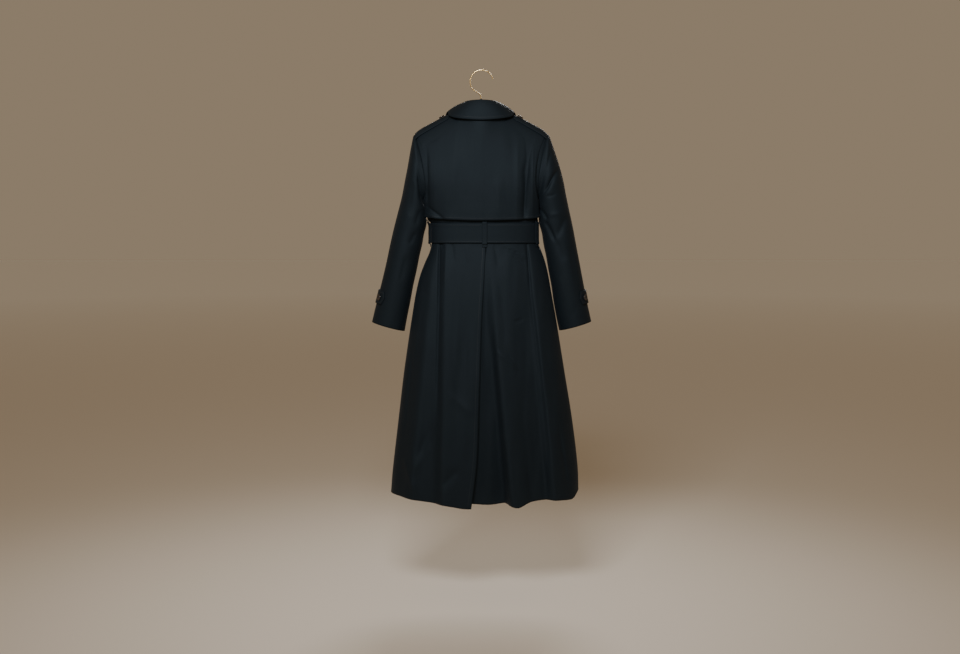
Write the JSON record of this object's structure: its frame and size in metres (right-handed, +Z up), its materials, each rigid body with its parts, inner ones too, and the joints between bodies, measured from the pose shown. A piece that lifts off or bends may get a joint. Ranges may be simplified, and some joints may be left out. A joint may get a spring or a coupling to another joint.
{
  "type": "trench coat on a hanger",
  "caption": "Long belted double-breasted trench coat with a storm cape and an overlapped back pleat, hanging open-necked on a plain wire-hook hanger.",
  "frame": {"origin": "the inside top of the hanger's hook, where a rail carries it", "axes": "+Z up, +Y out of the coat's front, +X toward the wearer's right"},
  "size_m": [0.672, 0.2603, 1.3072],
  "materials": {
    "cloth": "matte dark navy gabardine",
    "button": "dark satin gloss",
    "buckle": "dark satin",
    "hanger": "dark satin",
    "hook": "polished"
  },
  "bodies": {
    "root": {"back_cape": "cloth", "back_left": "cloth", "back_right": "cloth", "belt": "cloth", "belt_loop_back": "cloth", "belt_loop_left": "cloth", "belt_loop_right": "cloth", "buckle_frame": "buckle", "buckle_prong": "buckle", "collar_fall": "cloth", "collar_stand": "cloth", "epaulette_button_left": "button", "epaulette_button_right": "button", "epaulette_left": "cloth", "epaulette_right": "cloth", "front_button_inner_1": "button", "front_button_inner_2": "button", "front_button_inner_3": "button", "front_button_outer_1": "button", "front_button_outer_2": "button", "front_button_outer_3": "button", "front_left": "cloth", "front_right": "cloth", "hanger_arms": "hanger", "hanger_hook": "hook", "hanger_neck": "hanger", "lapel_left": "cloth", "lapel_right": "cloth", "pocket_welt_left": "cloth", "pocket_welt_right": "cloth", "sleeve_button_left": "button", "sleeve_button_right": "button", "sleeve_left": "cloth", "sleeve_right": "cloth", "sleeve_strap_left": "cloth", "sleeve_strap_right": "cloth"}
  },
  "joints": []
}
